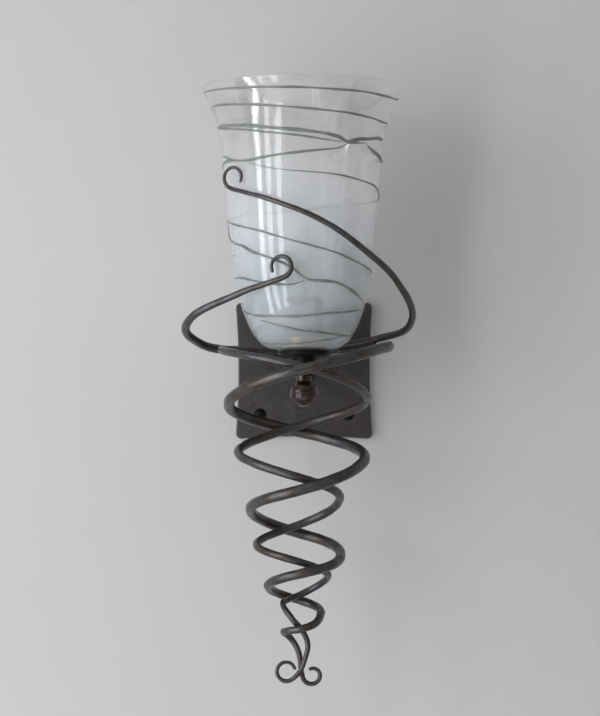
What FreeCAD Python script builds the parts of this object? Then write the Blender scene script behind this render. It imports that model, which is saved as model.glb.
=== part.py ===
import FreeCAD, Part

import math
import os

import Sketcher

# Forged iron torch sconce with a blown glass shade, in millimetres.
# +Z is up, the wall is the plane Y = 0, and the light stands out towards -Y.
# The origin is the centre of the backplate's rear face.

Vector = FreeCAD.Vector
doc = FreeCAD.newDocument("TorchSconce")
sheet = doc.addObject("Spreadsheet::Sheet", "Sizes")

SIZES = [
    # backplate
    ("plate_side", 128.0),
    ("plate_dip", 2.8),
    ("plate_thickness", 5.0),
    ("plate_corner_radius", 5.0),
    ("plate_edge_round", 1.2),
    ("wire_hole_radius", 5.5),
    ("bushing_flange_radius", 7.4),
    ("bushing_flange_thickness", 1.1),
    ("bushing_bore_radius", 3.7),
    # wall screws
    ("screw_spacing", 82.0),
    ("screw_thread_radius", 2.4),
    ("screw_neck_radius", 2.1),
    ("screw_hole_clearance", 0.3),
    ("screw_head_radius", 5.6),
    ("screw_head_height", 3.4),
    ("screw_length", 32.0),
    ("screw_point_length", 7.0),
    ("screw_slot_width", 1.2),
    ("screw_slot_depth", 1.5),
    # arm and hub
    ("arm_reach", 115.0),
    ("arm_radius", 6.35),
    ("arm_bore_radius", 4.35),
    ("arm_weld_size", 4.0),
    ("hub_radius", 11.0),
    ("hub_cover", 1.15),
    ("hub_foot", 2.85),
    ("hub_core", 6.5),
    ("fit_gap", 0.05),
    ("seat_gap", 0.3),
    # nipple, cup and its nut
    ("nipple_radius", 4.8),
    ("nipple_bore_radius", 3.2),
    ("nipple_depth_in_finial", 6.6),
    ("nipple_height_in_cap", 5.5),
    ("nipple_side_hole_radius", 2.9),
    ("cup_radius", 23.5),
    ("cup_height", 5.2),
    ("cup_floor", 2.0),
    ("cup_wall", 3.0),
    ("washer_radius", 9.0),
    ("washer_thickness", 1.0),
    ("nut_radius", 7.3),
    ("nut_height", 4.0),
    ("gasket_thickness", 1.2),
    ("gasket_inset", 0.6),
    # finial
    ("finial_neck_radius", 7.0),
    ("finial_neck_length", 5.6),
    ("finial_ball_radius", 12.7),
    # socket
    ("socket_radius", 17.5),
    ("socket_height", 36.0),
    ("socket_bore_depth", 30.0),
    ("socket_cap_height", 10.0),
    ("socket_cap_wall", 1.8),
    ("socket_boss_height", 4.0),
    ("shell_radius", 14.3),
    ("shell_height", 27.0),
    ("shell_wall", 0.7),
    ("contact_radius", 4.2),
    ("contact_height", 2.4),
    # bulb
    ("bulb_base_radius", 13.1),
    ("bulb_base_wall", 0.6),
    ("bulb_base_height", 21.0),
    ("bulb_tip_radius", 4.4),
    ("bulb_tip_height", 1.5),
    ("bulb_insulator_height", 4.5),
    ("bulb_radius", 16.5),
    ("bulb_length", 71.0),
    ("bulb_nose_radius", 3.0),
    ("bulb_wall", 0.9),
    ("stem_radius", 2.6),
    ("stem_height", 40.0),
    ("filament_radius", 0.9),
    ("filament_ring_radius", 5.6),
    ("filament_length", 26.0),
    # glass shade
    ("glass_wall", 3.0),
    ("glass_height", 237.4),
    ("glass_hole_radius", 21.0),
    ("glass_foot_radius", 27.5),
    ("glass_bowl_radius", 43.0),
    ("glass_bowl_share", 0.0413),
    ("glass_body_radius", 61.0),
    ("glass_body_share", 0.2548),
    ("glass_throat_radius", 71.0),
    ("glass_throat_share", 0.6866),
    ("glass_flare_radius", 83.3),
    ("glass_flare_share", 0.9267),
    ("glass_rim_radius", 91.8),
    ("glass_bowl_arc", 22.5),
    ("glass_side_arc", 150.0),
    ("glass_body_arc", 1500.0),
    ("glass_throat_arc", 173.0),
    # scroll rods
    ("scroll_height", 461.0),
    ("scroll_wall_gap", 21.0),
    ("long_rod_diameter", 8.4),
    ("short_rod_diameter", 10.4),
    ("rod_crossing_gap", 0.3),
    ("scroll_stand_off", 7.0),
    ("top_curl_radius", 9.6),
    ("foot_curl_radius", 9.0),
    ("weld_bead_radius", 5.2),
]


def fill_sheet():
    for row, (alias, value) in enumerate(SIZES, start=1):
        sheet.set("A%d" % row, alias)
        sheet.set("B%d" % row, str(value))
        sheet.setAlias("B%d" % row, alias)
    doc.recompute()


def size(alias):
    """Value of one driving dimension."""
    return float(getattr(sheet, alias))


def bind(thing, path, formula):
    """Ties a property to a formula in which $name stands for a size of the sheet."""
    thing.setExpression(path, formula.replace("$", "Sizes."))


def origin_plane(body, role):
    return next(plane for plane in body.Origin.OriginFeatures if plane.Role == role)


def new_body(label):
    body = doc.addObject("PartDesign::Body", label)
    body.Label = label
    return body


def new_sketch(body, name, role):
    sketch = body.newObject("Sketcher::SketchObject", name)
    sketch.AttachmentSupport = [(origin_plane(body, role), "")]
    sketch.MapMode = "FlatFace"
    return sketch


def evaluate(formula):
    """Number that a formula of sizes gives now, to place a sketch's first guess."""
    words = formula.replace("$", "Sizes.")
    return float(sheet.evalExpression(words))


def pin_point(sketch, geometry, end, axis, formula):
    """Fixes one coordinate of a sketch point, by a formula or on the axis if it is 0."""
    if formula == "0":
        line = -2 if axis == "X" else -1
        sketch.addConstraint(Sketcher.Constraint("PointOnObject", geometry, end, line))
        return
    kind = "DistanceX" if axis == "X" else "DistanceY"
    value = evaluate(formula)
    index = sketch.addConstraint(Sketcher.Constraint(kind, -1, 1, geometry, end, value))
    bind(sketch, "Constraints[%d]" % index, formula)


def arc_between(start, finish, radius, side):
    """Arc of a radius that bulges to the left (side 1) or right (side -1) of its run."""
    chord = finish - start
    middle = (start + finish) * 0.5
    normal = Vector(-chord.y, chord.x, 0).normalize() * side
    reach = math.sqrt(radius * radius - chord.Length * chord.Length / 4)
    centre = middle - normal * reach
    circle = Part.Circle(centre, Vector(0, 0, 1), radius)
    first, last = (finish, start) if side == 1 else (start, finish)
    opening = math.atan2(first.y - centre.y, first.x - centre.x)
    closing = math.atan2(last.y - centre.y, last.x - centre.x)
    return Part.ArcOfCircle(circle, opening, closing)


def outline(sketch, corners, arcs=None):
    """Closed outline through corners (x formula, y formula); arcs gives (radius, side) by run."""
    arcs = arcs or {}
    points = [Vector(evaluate(x), evaluate(y), 0) for x, y in corners]
    count = len(points)
    ends = []
    for run in range(count):
        start = points[run]
        finish = points[(run + 1) % count]
        if run in arcs:
            radius, side = arcs[run]
            curve = arc_between(start, finish, evaluate(radius), side)
            sketch.addGeometry(curve, False)
            ends.append((2, 1) if side == 1 else (1, 2))
        else:
            sketch.addGeometry(Part.LineSegment(start, finish), False)
            ends.append((1, 2))
    for run in range(count):
        following = (run + 1) % count
        link = Sketcher.Constraint("Coincident", run, ends[run][1], following, ends[following][0])
        sketch.addConstraint(link)
    for run, (x, y) in enumerate(corners):
        pin_point(sketch, run, ends[run][0], "X", x)
        pin_point(sketch, run, ends[run][0], "Y", y)
    for run, (radius, side) in arcs.items():
        index = sketch.addConstraint(Sketcher.Constraint("Radius", run, evaluate(radius)))
        bind(sketch, "Constraints[%d]" % index, radius)


def turned(label, corners, arcs=None):
    """Piece turned about its own Z axis from an outline of (radius, height) corners."""
    body = new_body(label)
    sketch = new_sketch(body, label + "_profile", "XZ_Plane")
    outline(sketch, corners, arcs)
    turn = body.newObject("PartDesign::Revolution", label + "_turn")
    turn.Profile = sketch
    turn.ReferenceAxis = (sketch, ["V_Axis"])
    turn.Angle = 360.0
    body.Tip = turn
    return body


def stand(piece, height, reach="-$arm_reach"):
    """Stands a piece on the light's own axis at a height."""
    bind(piece, "Placement.Base.y", reach)
    bind(piece, "Placement.Base.z", height)


def cylinder(name, radius, height):
    piece = doc.addObject("Part::Cylinder", name)
    bind(piece, "Radius", radius)
    bind(piece, "Height", height)
    return piece


def cut(label, base, tool):
    piece = doc.addObject("Part::Cut", label)
    piece.Label = label
    piece.Base = base
    piece.Tool = tool
    return piece


# Heights above the arm's axis, where each piece of the middle stack starts.
HUB_BOTTOM = "-($arm_radius + $hub_foot)"
HUB_TOP = "($arm_radius + $hub_cover)"
CUP_FLOOR_TOP = "(" + HUB_TOP + " + $cup_floor)"
NUT_BOTTOM = "(" + CUP_FLOOR_TOP + " + $washer_thickness)"
CAP_BOTTOM = "(" + NUT_BOTTOM + " + $nut_height)"
SOCKET_BOTTOM = "(" + CAP_BOTTOM + " + $socket_cap_height)"
SHELL_BOTTOM = "(" + SOCKET_BOTTOM + " + $socket_height - $socket_bore_depth)"
BULB_BOTTOM = "(" + SHELL_BOTTOM + " + $contact_height + $seat_gap)"
GASKET_BOTTOM = "(" + HUB_TOP + " + $cup_height)"
GLASS_BOTTOM = "(" + GASKET_BOTTOM + " + $gasket_thickness + $seat_gap / 3)"


def round_hole(body, name, radius, depth=None, offset=("0", "0")):
    """Hole cut into a plate from its rear face, all through where no depth is given."""
    sketch = new_sketch(body, name + "_profile", "XZ_Plane")
    centre = Vector(evaluate(offset[0]), evaluate(offset[1]), 0)
    sketch.addGeometry(Part.Circle(centre, Vector(0, 0, 1), evaluate(radius)), False)
    index = sketch.addConstraint(Sketcher.Constraint("Radius", 0, evaluate(radius)))
    bind(sketch, "Constraints[%d]" % index, radius)
    if offset == ("0", "0"):
        sketch.addConstraint(Sketcher.Constraint("Coincident", 0, 3, -1, 1))
    else:
        pin_point(sketch, 0, 3, "X", offset[0])
        pin_point(sketch, 0, 3, "Y", offset[1])
    hole = body.newObject("PartDesign::Pocket", name)
    hole.Profile = sketch
    hole.Reversed = True
    if depth is None:
        hole.Type = "ThroughAll"
    else:
        hole.Type = "Length"
        bind(hole, "Length", depth)
    return hole


def edges_where(shape, test):
    """Names of a shape's edges that pass a test."""
    return ["Edge%d" % (i + 1) for i, edge in enumerate(shape.Edges) if test(edge)]


def make_backplate():
    """Square forged plate whose sides are hollowed, so that its corners stand out."""
    body = new_body("backplate")
    sketch = new_sketch(body, "backplate_outline", "XZ_Plane")
    half = "$plate_side / 2"
    corners = [
        ("-" + half, "-" + half),
        (half, "-" + half),
        (half, half),
        ("-" + half, half),
    ]
    hollow = "($plate_side ^ 2 / 4 + $plate_dip ^ 2) / (2 * $plate_dip)"
    outline(sketch, corners, {run: (hollow, 1) for run in range(4)})
    pad = body.newObject("PartDesign::Pad", "backplate_pad")
    pad.Profile = sketch
    bind(pad, "Length", "$plate_thickness")
    doc.recompute()

    soft_corners = body.newObject("PartDesign::Fillet", "backplate_corners")
    across = evaluate("$plate_thickness / 2")
    upright = edges_where(pad.Shape, lambda edge: abs(edge.CenterOfMass.y + across) < 0.01)
    soft_corners.Base = (pad, upright)
    bind(soft_corners, "Radius", "$plate_corner_radius")
    body.Tip = soft_corners
    doc.recompute()

    soft_edge = body.newObject("PartDesign::Fillet", "backplate_front_edge")
    front = -size("plate_thickness")
    rim = edges_where(soft_corners.Shape, lambda edge: edge.CenterOfMass.y < front + 0.01)
    soft_edge.Base = (soft_corners, rim)
    bind(soft_edge, "Radius", "$plate_edge_round")
    body.Tip = soft_edge
    doc.recompute()

    solid_volume = soft_edge.Shape.Volume
    wire_hole = round_hole(body, "backplate_wire_hole", "$wire_hole_radius")
    body.Tip = wire_hole
    recess = round_hole(
        body,
        "backplate_bushing_recess",
        "$bushing_flange_radius + $fit_gap",
        "$bushing_flange_thickness + $fit_gap",
    )
    body.Tip = recess
    screw_hole = round_hole(
        body,
        "backplate_screw_hole",
        "$screw_thread_radius + $screw_hole_clearance",
        None,
        ("$screw_spacing / 2", "$screw_spacing / 2"),
    )
    body.Tip = screw_hole
    doc.recompute()
    four = body.newObject("PartDesign::PolarPattern", "backplate_screw_holes")
    four.Originals = [screw_hole]
    four.Axis = (screw_hole.Profile[0], ["N_Axis"])
    four.Angle = 360.0
    four.Occurrences = 4
    body.Tip = four
    doc.recompute()
    if four.Shape.Volume >= solid_volume:
        raise RuntimeError("the plate's holes cut nothing")
    return body


def make_bushing():
    """Flanged plastic bushing that lines the plate's wire hole, flange to the wall."""
    bushing = turned(
        "wire_bushing",
        [
            ("$bushing_bore_radius", "0"),
            ("$bushing_flange_radius", "0"),
            ("$bushing_flange_radius", "$bushing_flange_thickness"),
            ("$wire_hole_radius - $fit_gap", "$bushing_flange_thickness"),
            ("$wire_hole_radius - $fit_gap", "$plate_thickness"),
            ("$bushing_bore_radius", "$plate_thickness"),
        ],
    )
    bushing.Placement = FreeCAD.Placement(Vector(), FreeCAD.Rotation(Vector(1, 0, 0), 90))
    return bushing


def make_screw(label, side, level):
    """Round-head wall screw: plain neck in the plate, thread standing out behind it."""
    blank = turned(
        label + "_blank",
        [
            ("0", "0"),
            ("$screw_thread_radius", "$screw_point_length"),
            ("$screw_thread_radius", "$screw_length - $plate_thickness"),
            ("$screw_neck_radius", "$screw_length - $plate_thickness"),
            ("$screw_neck_radius", "$screw_length"),
            ("$screw_head_radius", "$screw_length"),
            ("0", "$screw_length + $screw_head_height"),
        ],
        {5: ("($screw_head_radius ^ 2 + $screw_head_height ^ 2) / (2 * $screw_head_height)", -1)},
    )
    slot = doc.addObject("Part::Box", label + "_slot")
    bind(slot, "Length", "$screw_head_radius * 2")
    bind(slot, "Width", "$screw_slot_width")
    bind(slot, "Height", "$screw_slot_depth + 1")
    bind(slot, "Placement.Base.x", "-$screw_head_radius")
    bind(slot, "Placement.Base.y", "-$screw_slot_width / 2")
    bind(slot, "Placement.Base.z", "$screw_length + $screw_head_height - $screw_slot_depth")
    screw = cut(label, blank, slot)
    turn = FreeCAD.Rotation(Vector(1, 0, 0), 90)
    screw.Placement = FreeCAD.Placement(Vector(), turn)
    bind(screw, "Placement.Base.x", "%d * $screw_spacing / 2" % side)
    bind(screw, "Placement.Base.y", "$screw_length - $plate_thickness")
    bind(screw, "Placement.Base.z", "%d * $screw_spacing / 2" % level)
    return screw


def make_arm():
    """Steel tube from the plate's face into the hub's socket."""
    body = new_body("support_arm")
    sketch = new_sketch(body, "support_arm_profile", "XZ_Plane")
    for index, radius in enumerate(("$arm_radius", "$arm_bore_radius")):
        sketch.addGeometry(Part.Circle(Vector(), Vector(0, 0, 1), evaluate(radius)), False)
        sketch.addConstraint(Sketcher.Constraint("Coincident", index, 3, -1, 1))
        place = sketch.addConstraint(Sketcher.Constraint("Radius", index, evaluate(radius)))
        bind(sketch, "Constraints[%d]" % place, radius)
    pad = body.newObject("PartDesign::Pad", "support_arm_pad")
    pad.Profile = sketch
    bind(pad, "Length", "$arm_reach - $plate_thickness - $hub_core")
    body.Tip = pad
    bind(body, "Placement.Base.y", "-$plate_thickness")
    return body


def make_arm_weld():
    """Ring of weld metal in the corner between arm and plate."""
    inner = "$arm_radius + $fit_gap"
    weld = turned(
        "arm_weld",
        [
            (inner, "0"),
            (inner + " + $arm_weld_size", "0"),
            (inner, "$arm_weld_size"),
        ],
        {1: ("$arm_weld_size * 1.1", -1)},
    )
    weld.Placement = FreeCAD.Placement(Vector(), FreeCAD.Rotation(Vector(1, 0, 0), 90))
    bind(weld, "Placement.Base.y", "-$plate_thickness")
    return weld


def make_hub():
    """Turned block with a through bore for the nipple and a side socket for the arm."""
    blank = cylinder("hub_blank", "$hub_radius", "2 * $arm_radius + $hub_foot + $hub_cover")
    bore = cylinder("hub_bore", "$nipple_radius + $fit_gap", "2 * $arm_radius + $hub_foot + $hub_cover")
    bored = cut("hub_bored", blank, bore)
    socket = cylinder("hub_arm_socket", "$arm_radius + $fit_gap", "$hub_radius - $hub_core")
    across = FreeCAD.Rotation(Vector(1, 0, 0), -90)
    socket.Placement = FreeCAD.Placement(Vector(), across)
    bind(socket, "Placement.Base.y", "$hub_core")
    bind(socket, "Placement.Base.z", "$arm_radius + $hub_foot")
    socketed = cut("hub_socketed", bored, socket)
    wire_way = cylinder("hub_wire_way", "$nipple_side_hole_radius", "$hub_radius")
    wire_way.Placement = FreeCAD.Placement(Vector(), across)
    bind(wire_way, "Placement.Base.z", "$arm_radius + $hub_foot")
    hub = cut("hub", socketed, wire_way)
    stand(hub, HUB_BOTTOM)
    return hub


def make_nipple():
    """Threaded tube up the middle, open at the back where the wires come in."""
    length = (
        "$nipple_depth_in_finial + 2 * $arm_radius + $hub_foot + $hub_cover + $cup_floor"
        " + $washer_thickness + $nut_height + $nipple_height_in_cap"
    )
    tube = cylinder("nipple_tube", "$nipple_radius", length)
    bore = cylinder("nipple_bore", "$nipple_bore_radius", length)
    bored = cut("nipple_bored", tube, bore)
    side_hole = cylinder("nipple_side_hole", "$nipple_side_hole_radius", "$nipple_radius * 2")
    side_hole.Placement = FreeCAD.Placement(Vector(), FreeCAD.Rotation(Vector(1, 0, 0), -90))
    bind(side_hole, "Placement.Base.z", "$nipple_depth_in_finial + $arm_radius + $hub_foot")
    nipple = cut("lamp_nipple", bored, side_hole)
    stand(nipple, HUB_BOTTOM + " - $nipple_depth_in_finial")
    return nipple


def make_cup():
    """Shallow turned dish that carries the glass on its rim."""
    cup = turned(
        "cup",
        [
            ("$nipple_radius + $seat_gap", "0"),
            ("$cup_radius - $cup_floor", "0"),
            ("$cup_radius", "$cup_floor"),
            ("$cup_radius", "$cup_height"),
            ("$cup_radius - $cup_wall", "$cup_height"),
            ("$cup_radius - $cup_wall", "$cup_floor"),
            ("$nipple_radius + $seat_gap", "$cup_floor"),
        ],
        {1: ("$cup_floor * 1.1", -1)},
    )
    stand(cup, HUB_TOP)
    return cup


def make_ring(label, inner, outer, thickness, height):
    """Flat ring such as a washer or a gasket."""
    ring = turned(label, [(inner, "0"), (outer, "0"), (outer, thickness), (inner, thickness)])
    stand(ring, height)
    return ring


def make_nut():
    """Hexagonal lock nut on the nipple."""
    hexagon = doc.addObject("Part::Prism", "cup_nut_blank")
    hexagon.Polygon = 6
    bind(hexagon, "Circumradius", "$nut_radius")
    bind(hexagon, "Height", "$nut_height")
    thread = cylinder("cup_nut_thread", "$nipple_radius + $fit_gap", "$nut_height")
    nut = cut("cup_nut", hexagon, thread)
    stand(nut, NUT_BOTTOM)
    return nut


def make_finial():
    """Turned ball with a neck, screwed onto the nipple's lower end."""
    neck_foot = "$finial_ball_radius + sqrt($finial_ball_radius ^ 2 - $finial_neck_radius ^ 2)"
    top = neck_foot + " + $finial_neck_length"
    finial = turned(
        "finial",
        [
            ("0", "0"),
            ("$finial_ball_radius", "$finial_ball_radius"),
            ("$finial_neck_radius", neck_foot),
            ("$finial_neck_radius", top),
            ("$nipple_radius + $fit_gap", top),
            ("$nipple_radius + $fit_gap", top + " - $nipple_depth_in_finial - 2"),
            ("0", top + " - $nipple_depth_in_finial - 4"),
        ],
        {0: ("$finial_ball_radius", -1), 1: ("$finial_ball_radius", -1)},
    )
    stand(finial, HUB_BOTTOM + " - $seat_gap / 2 - (" + top + ")")
    return finial


def make_socket():
    """Lampholder: metal cap, insulating body, brass screw shell and centre contact."""
    cap = turned(
        "socket_cap",
        [
            ("$nipple_radius + $fit_gap", "0"),
            ("$socket_radius - 2", "0"),
            ("$socket_radius", "2"),
            ("$socket_radius", "$socket_cap_height"),
            ("$socket_radius - $socket_cap_wall", "$socket_cap_height"),
            ("$socket_radius - $socket_cap_wall", "$socket_cap_wall + 1"),
            ("$nipple_radius + $fit_gap", "$socket_cap_wall + 1"),
        ],
        {1: ("2", -1)},
    )
    stand(cap, CAP_BOTTOM)
    boss = "$socket_radius - $socket_cap_wall - $fit_gap"
    floor = "$socket_boss_height + $socket_height - $socket_bore_depth"
    top = "$socket_boss_height + $socket_height"
    holder = turned(
        "socket_body",
        [
            ("$nipple_bore_radius", "0"),
            (boss, "0"),
            (boss, "$socket_boss_height"),
            ("$socket_radius", "$socket_boss_height"),
            ("$socket_radius", top + " - 1.5"),
            ("$socket_radius - 1.5", top),
            ("$shell_radius + $fit_gap", top),
            ("$shell_radius + $fit_gap", floor),
            ("$nipple_bore_radius", floor),
        ],
        {4: ("1.5", -1)},
    )
    stand(holder, SOCKET_BOTTOM + " - $socket_boss_height")
    shell = turned(
        "socket_screw_shell",
        [
            ("$contact_radius + 2", "0"),
            ("$shell_radius", "0"),
            ("$shell_radius", "$shell_height"),
            ("$shell_radius - $shell_wall", "$shell_height"),
            ("$shell_radius - $shell_wall", "$shell_wall"),
            ("$contact_radius + 2", "$shell_wall"),
        ],
    )
    stand(shell, SHELL_BOTTOM)
    contact = turned(
        "socket_contact",
        [
            ("0", "0"),
            ("$contact_radius", "0"),
            ("$contact_radius", "$contact_height / 3"),
            ("$contact_radius / 2", "$contact_height"),
            ("0", "$contact_height"),
        ],
    )
    stand(contact, SHELL_BOTTOM)
    return [cap, holder, shell, contact]


def make_bulb():
    """Screw-in candle bulb: tip, insulator, base shell, envelope, stem and filaments."""
    tip = turned(
        "bulb_tip_contact",
        [
            ("0", "0"),
            ("$bulb_tip_radius", "$bulb_tip_height / 2"),
            ("$bulb_tip_radius", "$bulb_tip_height"),
            ("0", "$bulb_tip_height"),
        ],
    )
    stand(tip, BULB_BOTTOM)
    insulator = turned(
        "bulb_insulator",
        [
            ("0", "0"),
            ("$bulb_tip_radius + 0.8", "0"),
            ("$bulb_base_radius - 2.2", "$bulb_insulator_height"),
            ("0", "$bulb_insulator_height"),
        ],
    )
    stand(insulator, BULB_BOTTOM + " + $bulb_tip_height")
    base_bottom = BULB_BOTTOM + " + $bulb_tip_height + $bulb_insulator_height"
    bore = "$bulb_base_radius - $bulb_base_wall"
    base = turned(
        "bulb_base_shell",
        [
            ("$stem_radius", "0"),
            ("$bulb_base_radius - 2", "0"),
            ("$bulb_base_radius", "2"),
            ("$bulb_base_radius", "$bulb_base_height"),
            (bore, "$bulb_base_height"),
            (bore, "2"),
            ("$bulb_base_radius - 2.6", "$bulb_base_wall"),
            ("$stem_radius", "$bulb_base_wall"),
        ],
    )
    stand(base, base_bottom)

    neck = "$bulb_base_radius - $bulb_base_wall - $fit_gap"
    belly = "$bulb_length * 0.42"
    swell = "($bulb_radius - (" + neck + "))"
    lower_arc = "(" + swell + " ^ 2 + (" + belly + " - 6) ^ 2) / (2 * " + swell + ")"
    nose = "$bulb_nose_radius"
    climb = "($bulb_length - " + nose + " - " + belly + ")"
    upper_arc = (
        "((" + climb + " ^ 2 + $bulb_radius ^ 2 - " + nose + " ^ 2)"
        " / (2 * ($bulb_radius - " + nose + ")))"
    )
    outward = "(" + upper_arc + " - $bulb_radius) / (" + upper_arc + " - " + nose + ")"
    upward = climb + " / (" + upper_arc + " - " + nose + ")"
    nose_centre = "$bulb_length - " + nose
    inner_nose = "(" + nose + " - $bulb_wall)"
    envelope = turned(
        "bulb_envelope",
        [
            (neck, "0"),
            (neck, "6"),
            ("$bulb_radius", belly),
            (nose + " * " + outward, nose_centre + " + " + nose + " * " + upward),
            ("0", "$bulb_length"),
            ("0", "$bulb_length - $bulb_wall"),
            (inner_nose + " * " + outward, nose_centre + " + " + inner_nose + " * " + upward),
            ("$bulb_radius - $bulb_wall", belly),
            (neck + " - $bulb_wall", "6"),
            (neck + " - $bulb_wall", "0"),
        ],
        {
            1: (lower_arc, -1),
            2: (upper_arc, -1),
            3: (nose, -1),
            5: (inner_nose, 1),
            6: (upper_arc + " - $bulb_wall", 1),
            7: (lower_arc, 1),
        },
    )
    stand(envelope, base_bottom + " + $bulb_base_height - 6")
    stem_flare = neck + " - $bulb_wall - $fit_gap"
    stem = turned(
        "bulb_stem",
        [
            ("0", "0"),
            (stem_flare, "0"),
            (stem_flare, "1"),
            ("$stem_radius", "9"),
            ("$stem_radius * 0.7", "$stem_height"),
            ("0", "$stem_height"),
        ],
    )
    stand(stem, base_bottom + " + $bulb_base_height - 5")
    return [tip, insulator, base, envelope, stem, make_filament(base_bottom)]


def make_filament(base_bottom):
    """Four upright light strips between two wire rings about the stem."""
    parts = []
    for name, height in (("lower", "0"), ("upper", "$filament_length")):
        ring = doc.addObject("Part::Torus", "filament_ring_" + name)
        bind(ring, "Radius1", "$filament_ring_radius")
        bind(ring, "Radius2", "$filament_radius * 0.6")
        bind(ring, "Placement.Base.z", height)
        parts.append(ring)
    for quarter in range(4):
        strip = cylinder("filament_strip_%d" % quarter, "$filament_radius", "$filament_length")
        bind(strip, "Placement.Base.x", "$filament_ring_radius * cos(%d deg)" % (90 * quarter))
        bind(strip, "Placement.Base.y", "$filament_ring_radius * sin(%d deg)" % (90 * quarter))
        parts.append(strip)
    for side in (-1, 1):
        lead = cylinder("filament_lead_%d" % side, "$filament_radius * 0.5", "$filament_ring_radius")
        way = FreeCAD.Rotation(Vector(0, 1, 0), 90 * side)
        lead.Placement = FreeCAD.Placement(Vector(), way)
        bind(lead, "Placement.Base.x", "%d * ($stem_radius + $fit_gap)" % side)
        bind(lead, "Height", "$filament_ring_radius - $stem_radius - $fit_gap")
        parts.append(lead)
    filament = doc.addObject("Part::MultiFuse", "bulb_filaments")
    filament.Label = "bulb_filaments"
    filament.Shapes = parts
    stand(filament, base_bottom + " + $bulb_base_height - 5 + 11")
    return filament


def make_glass():
    """Blown shade: round bowl, tall body, throat and flared rim, with a hole in its foot."""
    body = new_body("glass_shade")
    sketch = new_sketch(body, "glass_profile", "XZ_Plane")
    corners = [
        ("0", "0"),
        ("$glass_foot_radius", "0"),
        ("$glass_bowl_radius", "$glass_height * $glass_bowl_share"),
        ("$glass_body_radius", "$glass_height * $glass_body_share"),
        ("$glass_throat_radius", "$glass_height * $glass_throat_share"),
        ("$glass_flare_radius", "$glass_height * $glass_flare_share"),
        ("$glass_rim_radius", "$glass_height"),
        ("0", "$glass_height"),
    ]
    arcs = {
        1: ("$glass_bowl_arc", -1),
        2: ("$glass_side_arc", -1),
        3: ("$glass_body_arc", -1),
        4: ("$glass_throat_arc", 1),
    }
    outline(sketch, corners, arcs)
    turn = body.newObject("PartDesign::Revolution", "glass_blown")
    turn.Profile = sketch
    turn.ReferenceAxis = (sketch, ["V_Axis"])
    turn.Angle = 360.0
    body.Tip = turn
    doc.recompute()
    top = max(range(len(turn.Shape.Faces)), key=lambda i: turn.Shape.Faces[i].CenterOfMass.z)
    hollow = body.newObject("PartDesign::Thickness", "glass_hollow")
    hollow.Base = (turn, ["Face%d" % (top + 1)])
    hollow.Mode = "Skin"
    hollow.Join = "Intersection"
    hollow.Reversed = True
    bind(hollow, "Value", "$glass_wall")
    body.Tip = hollow
    doc.recompute()
    foot = new_sketch(body, "glass_foot_hole_profile", "XY_Plane")
    foot.addGeometry(Part.Circle(Vector(), Vector(0, 0, 1), size("glass_hole_radius")), False)
    foot.addConstraint(Sketcher.Constraint("Coincident", 0, 3, -1, 1))
    index = foot.addConstraint(Sketcher.Constraint("Radius", 0, size("glass_hole_radius")))
    bind(foot, "Constraints[%d]" % index, "$glass_hole_radius")
    hole = body.newObject("PartDesign::Pocket", "glass_foot_hole")
    hole.Profile = foot
    hole.Reversed = True
    hole.Type = "Length"
    bind(hole, "Length", "$glass_wall * 2")
    body.Tip = hole
    doc.recompute()
    rim = body.newObject("PartDesign::Fillet", "glass_fire_polished_rim")
    crest = size("glass_height") - 0.01
    lips = edges_where(hole.Shape, lambda edge: edge.CenterOfMass.z > crest)
    rim.Base = (hole, lips)
    bind(rim, "Radius", "$glass_wall * 0.4")
    body.Tip = rim
    stand(body, GLASS_BOTTOM)
    return body


def glass_radius_at(height):
    """Outer radius of the glass at a height above the arm's axis."""
    sketch = doc.getObject("glass_profile")
    level = height - evaluate(GLASS_BOTTOM)
    level = min(max(level, 0.5), size("glass_height") - 0.5)
    ray = Part.makeLine(Vector(1, 0, level), Vector(300, 0, level))
    hits = sketch.Shape.section(ray).Vertexes
    return max(hit.X for hit in hits)


def flowing_value(stations, column, travel):
    """Value of a column between stations, on a smooth curve through them all."""
    keys = [station[0] for station in stations]
    values = [station[column] for station in stations]
    last = len(keys) - 1
    run = max(i for i in range(last) if i == 0 or travel >= keys[i])

    def slope(i):
        if i == 0:
            return (values[1] - values[0]) / (keys[1] - keys[0])
        if i == last:
            return (values[i] - values[i - 1]) / (keys[i] - keys[i - 1])
        before = keys[i] - keys[i - 1]
        after = keys[i + 1] - keys[i]
        rise_in = (values[i] - values[i - 1]) / before
        rise_out = (values[i + 1] - values[i]) / after
        return (rise_in * after + rise_out * before) / (before + after)

    step = keys[run + 1] - keys[run]
    part = (travel - keys[run]) / step
    start_pull = slope(run) * step
    end_pull = slope(run + 1) * step
    return (
        (2 * part ** 3 - 3 * part ** 2 + 1) * values[run]
        + (part ** 3 - 2 * part ** 2 + part) * start_pull
        + (3 * part ** 2 - 2 * part ** 3) * values[run + 1]
        + (part ** 3 - part ** 2) * end_pull
    )


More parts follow.
